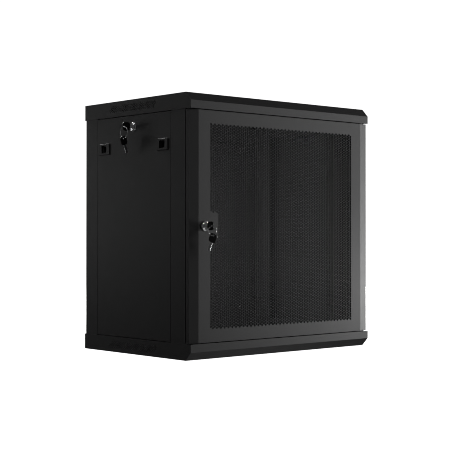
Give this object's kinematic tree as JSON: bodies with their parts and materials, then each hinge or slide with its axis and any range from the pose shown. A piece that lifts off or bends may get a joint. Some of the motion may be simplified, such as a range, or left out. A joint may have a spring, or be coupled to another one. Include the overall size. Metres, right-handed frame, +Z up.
{
  "type": "network server rack cabinet",
  "caption": "Wall-mounted network rack cabinet: steel frame, perforated lockable front door, removable lockable side panels and depth-adjustable 19-inch rails.",
  "frame": {"origin": "centre of the underside of the floor pan, midway between the sides and midway between the front band and the rear flange", "axes": "+X to the right seen from the front, +Y towards the wall behind, +Z up; the door faces -Y"},
  "size_m": [0.673, 0.485, 0.635],
  "materials": {
    "powder_coat": "fine matte black powder coat",
    "zinc_steel": "bright zinc plating",
    "black_steel": "black oxide on steel screws and nuts",
    "chrome": "polished chrome plating",
    "latch_plastic": "moulded black plastic",
    "key_plastic": "steel blade with a moulded black plastic bow",
    "rubber": "soft black rubber",
    "nylon": "natural nylon"
  },
  "bodies": {
    "cabinet": {"top_cover": "powder_coat", "bottom_cover": "powder_coat", "back_panel": "powder_coat", "post_front_left": "powder_coat", "post_front_right": "powder_coat", "post_rear_left": "powder_coat", "post_rear_right": "powder_coat", "frame_nuts": "black_steel", "rail_supports": "powder_coat", "support_bolts": "black_steel", "wall_mount_rails": "powder_coat", "panel_screws": "black_steel", "top_cable_cover": "powder_coat", "bottom_cable_cover": "powder_coat", "rear_cable_cover": "powder_coat", "lower_hinge_pin": "zinc_steel", "door_bumpers": "rubber"},
    "door": {"door_skin": "powder_coat", "door_stiffeners": "powder_coat", "upper_hinge_bracket": "powder_coat", "upper_hinge_spring": "zinc_steel", "lower_hinge_bush": "nylon", "door_lock_housing": "chrome", "door_lock_nut": "zinc_steel"},
    "upper_hinge_pin": {"upper_hinge_pin": "zinc_steel"},
    "door_lock_barrel": {"door_lock_plug": "chrome", "door_lock_cam": "zinc_steel", "door_lock_key": "key_plastic"},
    "door_key_ring": {"door_lock_ring": "chrome", "door_lock_spare_key": "key_plastic"},
    "left_panel": {"side_panel_left": "powder_coat", "latch_housings_left": "latch_plastic", "left_lock_housing": "chrome", "left_lock_nut": "zinc_steel"},
    "left_front_latch": {"latch_bolt_front_left": "latch_plastic"},
    "front_left_rail": {"rail_front_left": "powder_coat", "rail_bolts_front_left": "black_steel"},
    "left_rear_latch": {"latch_bolt_rear_left": "latch_plastic"},
    "rear_left_rail": {"rail_rear_left": "powder_coat", "rail_bolts_rear_left": "black_steel"},
    "left_lock_barrel": {"left_lock_plug": "chrome", "left_lock_cam": "zinc_steel", "left_lock_key": "key_plastic"},
    "left_key_ring": {"left_lock_ring": "chrome", "left_lock_spare_key": "key_plastic"},
    "right_panel": {"side_panel_right": "powder_coat", "latch_housings_right": "latch_plastic", "right_lock_housing": "chrome", "right_lock_nut": "zinc_steel"},
    "right_front_latch": {"latch_bolt_front_right": "latch_plastic"},
    "front_right_rail": {"rail_front_right": "powder_coat", "rail_bolts_front_right": "black_steel"},
    "right_rear_latch": {"latch_bolt_rear_right": "latch_plastic"},
    "rear_right_rail": {"rail_rear_right": "powder_coat", "rail_bolts_rear_right": "black_steel"},
    "right_lock_barrel": {"right_lock_plug": "chrome", "right_lock_cam": "zinc_steel", "right_lock_key": "key_plastic"},
    "right_key_ring": {"right_lock_ring": "chrome", "right_lock_spare_key": "key_plastic"}
  },
  "joints": [
    {"name": "door_hinge", "type": "hinge", "parent": "cabinet", "child": "door", "pos_m": [0.292, -0.213, 0.3175], "axis": [0, 0, 1], "range_deg": [0, 170]},
    {"name": "upper_hinge_pin_slide", "type": "slide", "parent": "door", "child": "upper_hinge_pin", "axis": [0, 0, -1], "range_m": [0, 0.009], "stiffness_N_per_m": 600, "springref_m": -0.005, "deforming": ["upper_hinge_spring"]},
    {"name": "door_lock_turn", "type": "hinge", "parent": "door", "child": "door_lock_barrel", "pos_m": [-0.255, -0.2217, 0.318], "axis": [0, 1, 0], "range_deg": [0, 90]},
    {"name": "door_key_ring_swing", "type": "hinge", "parent": "door_lock_barrel", "child": "door_key_ring", "pos_m": [-0.255, -0.2497, 0.318], "axis": [1, 0, 0], "range_deg": [-35, 4]},
    {"name": "left_panel_tilt", "type": "hinge", "parent": "cabinet", "child": "left_panel", "pos_m": [-0.2986, 0.01165, 0.0406], "axis": [0, -1, 0], "range_deg": [0, 20]},
    {"name": "left_front_latch_slide", "type": "slide", "parent": "left_panel", "child": "left_front_latch", "axis": [0, -1, 0], "range_m": [0, 0.007]},
    {"name": "left_rear_latch_slide", "type": "slide", "parent": "left_panel", "child": "left_rear_latch", "axis": [0, 1, 0], "range_m": [0, 0.007]},
    {"name": "left_lock_turn", "type": "hinge", "parent": "left_panel", "child": "left_lock_barrel", "pos_m": [-0.2986, 0.01, 0.566], "axis": [1, 0, 0], "range_deg": [0, 90]},
    {"name": "left_key_ring_swing", "type": "hinge", "parent": "left_lock_barrel", "child": "left_key_ring", "pos_m": [-0.3266, 0.01, 0.566], "axis": [0, -1, 0], "range_deg": [-35, 4]},
    {"name": "right_panel_tilt", "type": "hinge", "parent": "cabinet", "child": "right_panel", "pos_m": [0.2986, 0.01165, 0.0406], "axis": [0, 1, 0], "range_deg": [0, 20]},
    {"name": "right_front_latch_slide", "type": "slide", "parent": "right_panel", "child": "right_front_latch", "axis": [0, -1, 0], "range_m": [0, 0.007]},
    {"name": "right_rear_latch_slide", "type": "slide", "parent": "right_panel", "child": "right_rear_latch", "axis": [0, 1, 0], "range_m": [0, 0.007]},
    {"name": "right_lock_turn", "type": "hinge", "parent": "right_panel", "child": "right_lock_barrel", "pos_m": [0.2986, 0.01, 0.566], "axis": [1, 0, 0], "range_deg": [0, 90]},
    {"name": "right_key_ring_swing", "type": "hinge", "parent": "right_lock_barrel", "child": "right_key_ring", "pos_m": [0.3266, 0.01, 0.566], "axis": [0, 1, 0], "range_deg": [-35, 4]},
    {"name": "front_left_rail_slide", "type": "slide", "parent": "cabinet", "child": "front_left_rail", "axis": [0, 1, 0], "range_m": [-0.02, 0.05]},
    {"name": "front_right_rail_slide", "type": "slide", "parent": "cabinet", "child": "front_right_rail", "axis": [0, 1, 0], "range_m": [-0.02, 0.05]},
    {"name": "rear_left_rail_slide", "type": "slide", "parent": "cabinet", "child": "rear_left_rail", "axis": [0, 1, 0], "range_m": [-0.05, 0.02]},
    {"name": "rear_right_rail_slide", "type": "slide", "parent": "cabinet", "child": "rear_right_rail", "axis": [0, 1, 0], "range_m": [-0.05, 0.02]}
  ],
  "couplings": [
    {"joint": "front_right_rail_slide", "follows": "front_left_rail_slide", "ratio": 1},
    {"joint": "rear_right_rail_slide", "follows": "rear_left_rail_slide", "ratio": 1}
  ]
}
